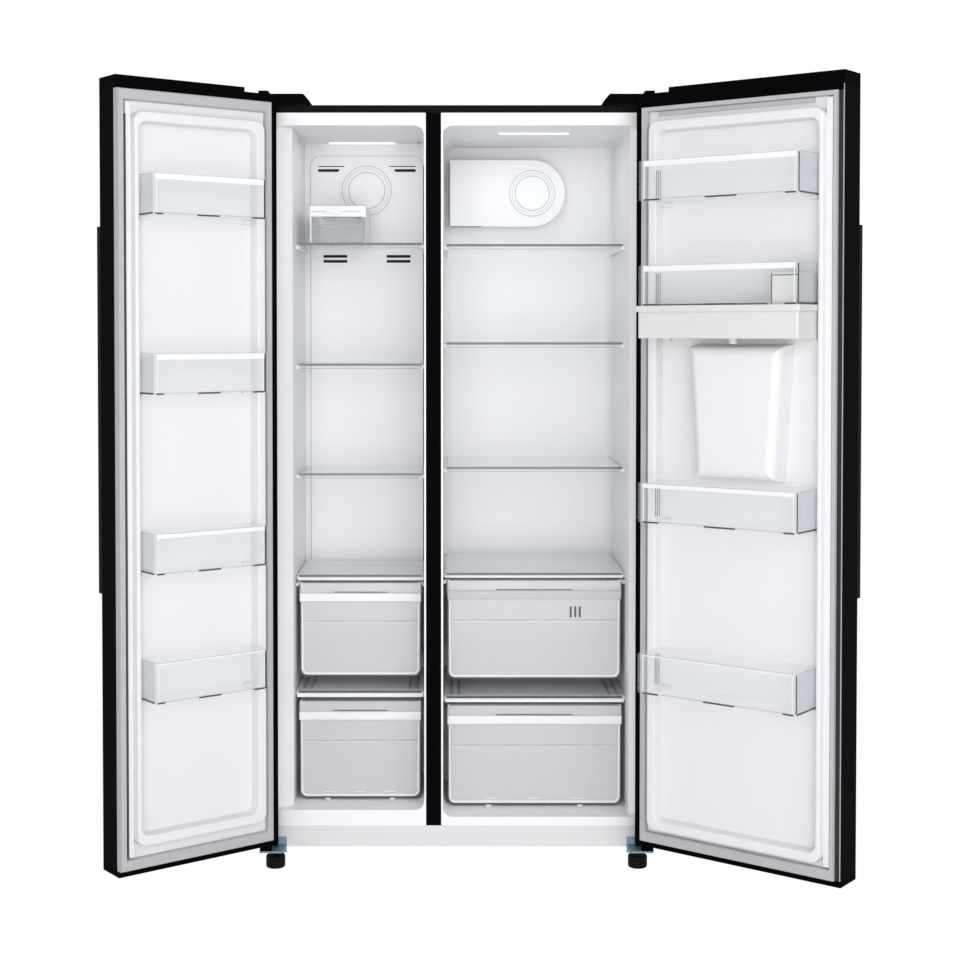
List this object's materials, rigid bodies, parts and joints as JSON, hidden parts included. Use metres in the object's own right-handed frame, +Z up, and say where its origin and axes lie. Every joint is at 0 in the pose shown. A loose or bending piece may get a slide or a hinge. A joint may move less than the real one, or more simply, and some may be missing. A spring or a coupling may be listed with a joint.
{
  "type": "side by side refrigerator",
  "caption": "Side by side refrigerator standing with both doors open, with glass shelves, pull-out drawers, lift-out door bins, a water tank and a dispenser.",
  "frame": {"origin": "middle of the footprint of the whole object with its doors open, on the floor", "axes": "+Z up, +Y to the back of the cabinet, +X to the right seen from the front"},
  "size_m": [1.6308, 0.9754, 1.773],
  "materials": {
    "black_enamel": "gloss",
    "case_enamel": "satin",
    "rear_sheet": "satin",
    "zinc_plate": "satin",
    "black_plastic": "satin",
    "rail_plastic": "satin",
    "plinth_enamel": "satin",
    "white_liner": "satin",
    "white_trim": "gloss",
    "clear_bin": "gloss",
    "milky_drawer": "gloss",
    "shelf_glass": "polished",
    "insulation": "matte",
    "seal_grey": "matte",
    "lamp_lens": "satin",
    "coil_aluminium": "satin",
    "compressor_black": "satin",
    "foot_plastic": "matte",
    "tank_plastic": "satin"
  },
  "bodies": {
    "cabinet": {"outer_case": "case_enamel", "rear_panel": "rear_sheet", "base_pan": "zinc_plate", "cabinet_foam": "insulation", "freezer_liner": "white_liner", "fridge_liner": "white_liner", "mullion_cover": "black_plastic", "top_rail": "rail_plastic", "plinth_rail": "plinth_enamel", "upper_hinge_plates": "zinc_plate", "hinge_covers": "black_plastic", "lower_hinge_brackets": "zinc_plate", "hinge_screws": "zinc_plate", "freezer_duct_cover": "white_liner", "fridge_air_duct": "white_liner", "lamp_lenses": "lamp_lens", "evaporator": "coil_aluminium", "compressor": "compressor_black", "machine_room_cover": "black_plastic", "ice_maker_frame": "white_trim", "glass_shelves": "shelf_glass", "drawer_covers": "shelf_glass"},
    "evaporator_fan": {"evaporator_fan": "foot_plastic"},
    "ice_tray": {"ice_tray": "white_trim"},
    "ice_box": {"ice_box": "clear_bin"},
    "foot_left": {"foot_left": "foot_plastic"},
    "foot_right": {"foot_right": "foot_plastic"},
    "rear_rollers": {"rear_rollers": "foot_plastic"},
    "freezer_upper_drawer": {"freezer_upper_drawer": "milky_drawer", "freezer_upper_handle": "white_trim"},
    "freezer_lower_drawer": {"freezer_lower_drawer": "milky_drawer", "freezer_lower_handle": "white_trim"},
    "freezer_door": {"freezer_door_shell": "black_enamel", "freezer_door_caps": "black_plastic", "freezer_door_foam": "insulation", "freezer_door_liner": "white_liner", "freezer_door_gasket": "seal_grey", "freezer_door_handle": "black_enamel"},
    "freezer_bin_1": {"freezer_bin_1": "clear_bin"},
    "freezer_bin_2": {"freezer_bin_2": "clear_bin"},
    "freezer_bin_3": {"freezer_bin_3": "clear_bin"},
    "freezer_bin_4": {"freezer_bin_4": "clear_bin"},
    "fridge_upper_drawer": {"fridge_upper_drawer": "milky_drawer", "fridge_upper_handle": "white_trim"},
    "fridge_lower_drawer": {"fridge_lower_drawer": "milky_drawer", "fridge_lower_handle": "white_trim"},
    "fridge_door": {"fridge_door_shell": "black_enamel", "fridge_door_caps": "black_plastic", "fridge_door_foam": "insulation", "fridge_door_liner": "white_liner", "fridge_door_gasket": "seal_grey", "fridge_door_handle": "black_enamel", "water_tank": "tank_plastic", "dispenser_niche": "black_plastic"},
    "fridge_bin_1": {"fridge_bin_1": "clear_bin"},
    "fridge_bin_2": {"fridge_bin_2": "clear_bin"},
    "fridge_bin_3": {"fridge_bin_3": "clear_bin"},
    "fridge_bin_4": {"fridge_bin_4": "clear_bin"},
    "tank_fill_lid": {"tank_fill_lid": "clear_bin"},
    "dispenser_paddle": {"dispenser_paddle": "black_plastic"}
  },
  "joints": [
    {"name": "freezer_door_hinge", "type": "hinge", "parent": "cabinet", "child": "freezer_door", "pos_m": [-0.47705, -0.10626, 0.92025], "axis": [0, 0, -1], "range_deg": [-142.5, 0]},
    {"name": "freezer_bin_1_lift", "type": "slide", "parent": "freezer_door", "child": "freezer_bin_1", "axis": [0, 0, 1], "range_m": [0, 0.045]},
    {"name": "freezer_bin_2_lift", "type": "slide", "parent": "freezer_door", "child": "freezer_bin_2", "axis": [0, 0, 1], "range_m": [0, 0.045]},
    {"name": "freezer_bin_3_lift", "type": "slide", "parent": "freezer_door", "child": "freezer_bin_3", "axis": [0, 0, 1], "range_m": [0, 0.045]},
    {"name": "freezer_bin_4_lift", "type": "slide", "parent": "freezer_door", "child": "freezer_bin_4", "axis": [0, 0, 1], "range_m": [0, 0.045]},
    {"name": "fridge_door_hinge", "type": "hinge", "parent": "cabinet", "child": "fridge_door", "pos_m": [0.39295, -0.10626, 0.92025], "axis": [0, 0, 1], "range_deg": [-142.5, 0]},
    {"name": "fridge_bin_1_lift", "type": "slide", "parent": "fridge_door", "child": "fridge_bin_1", "axis": [0, 0, 1], "range_m": [0, 0.045]},
    {"name": "fridge_bin_2_lift", "type": "slide", "parent": "fridge_door", "child": "fridge_bin_2", "axis": [0, 0, 1], "range_m": [0, 0.045]},
    {"name": "fridge_bin_3_lift", "type": "slide", "parent": "fridge_door", "child": "fridge_bin_3", "axis": [0, 0, 1], "range_m": [0, 0.006]},
    {"name": "fridge_bin_4_lift", "type": "slide", "parent": "fridge_door", "child": "fridge_bin_4", "axis": [0, 0, 1], "range_m": [0, 0.045]},
    {"name": "freezer_upper_drawer_slide", "type": "slide", "parent": "cabinet", "child": "freezer_upper_drawer", "axis": [0, -1, 0], "range_m": [0, 0.19]},
    {"name": "freezer_lower_drawer_slide", "type": "slide", "parent": "cabinet", "child": "freezer_lower_drawer", "axis": [0, -1, 0], "range_m": [0, 0.15]},
    {"name": "fridge_upper_drawer_slide", "type": "slide", "parent": "cabinet", "child": "fridge_upper_drawer", "axis": [0, -1, 0], "range_m": [0, 0.27]},
    {"name": "fridge_lower_drawer_slide", "type": "slide", "parent": "cabinet", "child": "fridge_lower_drawer", "axis": [0, -1, 0], "range_m": [0, 0.15]},
    {"name": "ice_box_slide", "type": "slide", "parent": "cabinet", "child": "ice_box", "axis": [0, -1, 0], "range_m": [0, 0.18]},
    {"name": "ice_tray_twist", "type": "hinge", "parent": "cabinet", "child": "ice_tray", "pos_m": [-0.32155, 0.16975, 1.5155], "axis": [0, 1, 0], "range_deg": [0, 150]},
    {"name": "fan_spin", "type": "hinge", "parent": "cabinet", "child": "evaporator_fan", "pos_m": [-0.2668, 0.34125, 1.584], "axis": [0, 1, 0], "continuous": true},
    {"name": "foot_left_turn", "type": "hinge", "parent": "cabinet", "child": "foot_left", "pos_m": [-0.45855, -0.07025, 0.028], "axis": [0, 0, 1], "continuous": true},
    {"name": "foot_right_turn", "type": "hinge", "parent": "cabinet", "child": "foot_right", "pos_m": [0.37445, -0.07025, 0.028], "axis": [0, 0, 1], "continuous": true},
    {"name": "rear_rollers_roll", "type": "hinge", "parent": "cabinet", "child": "rear_rollers", "pos_m": [-0.04205, 0.41974, 0.021], "axis": [1, 0, 0], "continuous": true},
    {"name": "tank_fill_lid_hinge", "type": "hinge", "parent": "fridge_door", "child": "tank_fill_lid", "pos_m": [0.68271, -0.38242, 1.3487], "axis": [-0.7934, 0.6088, 0], "range_deg": [0, 88]},
    {"name": "dispenser_paddle_push", "type": "hinge", "parent": "fridge_door", "child": "dispenser_paddle", "pos_m": [0.57043, -0.30042, 1.128], "axis": [-0.7934, 0.6088, 0], "range_deg": [0, 5], "stiffness_Nm_per_rad": 0.3}
  ]
}
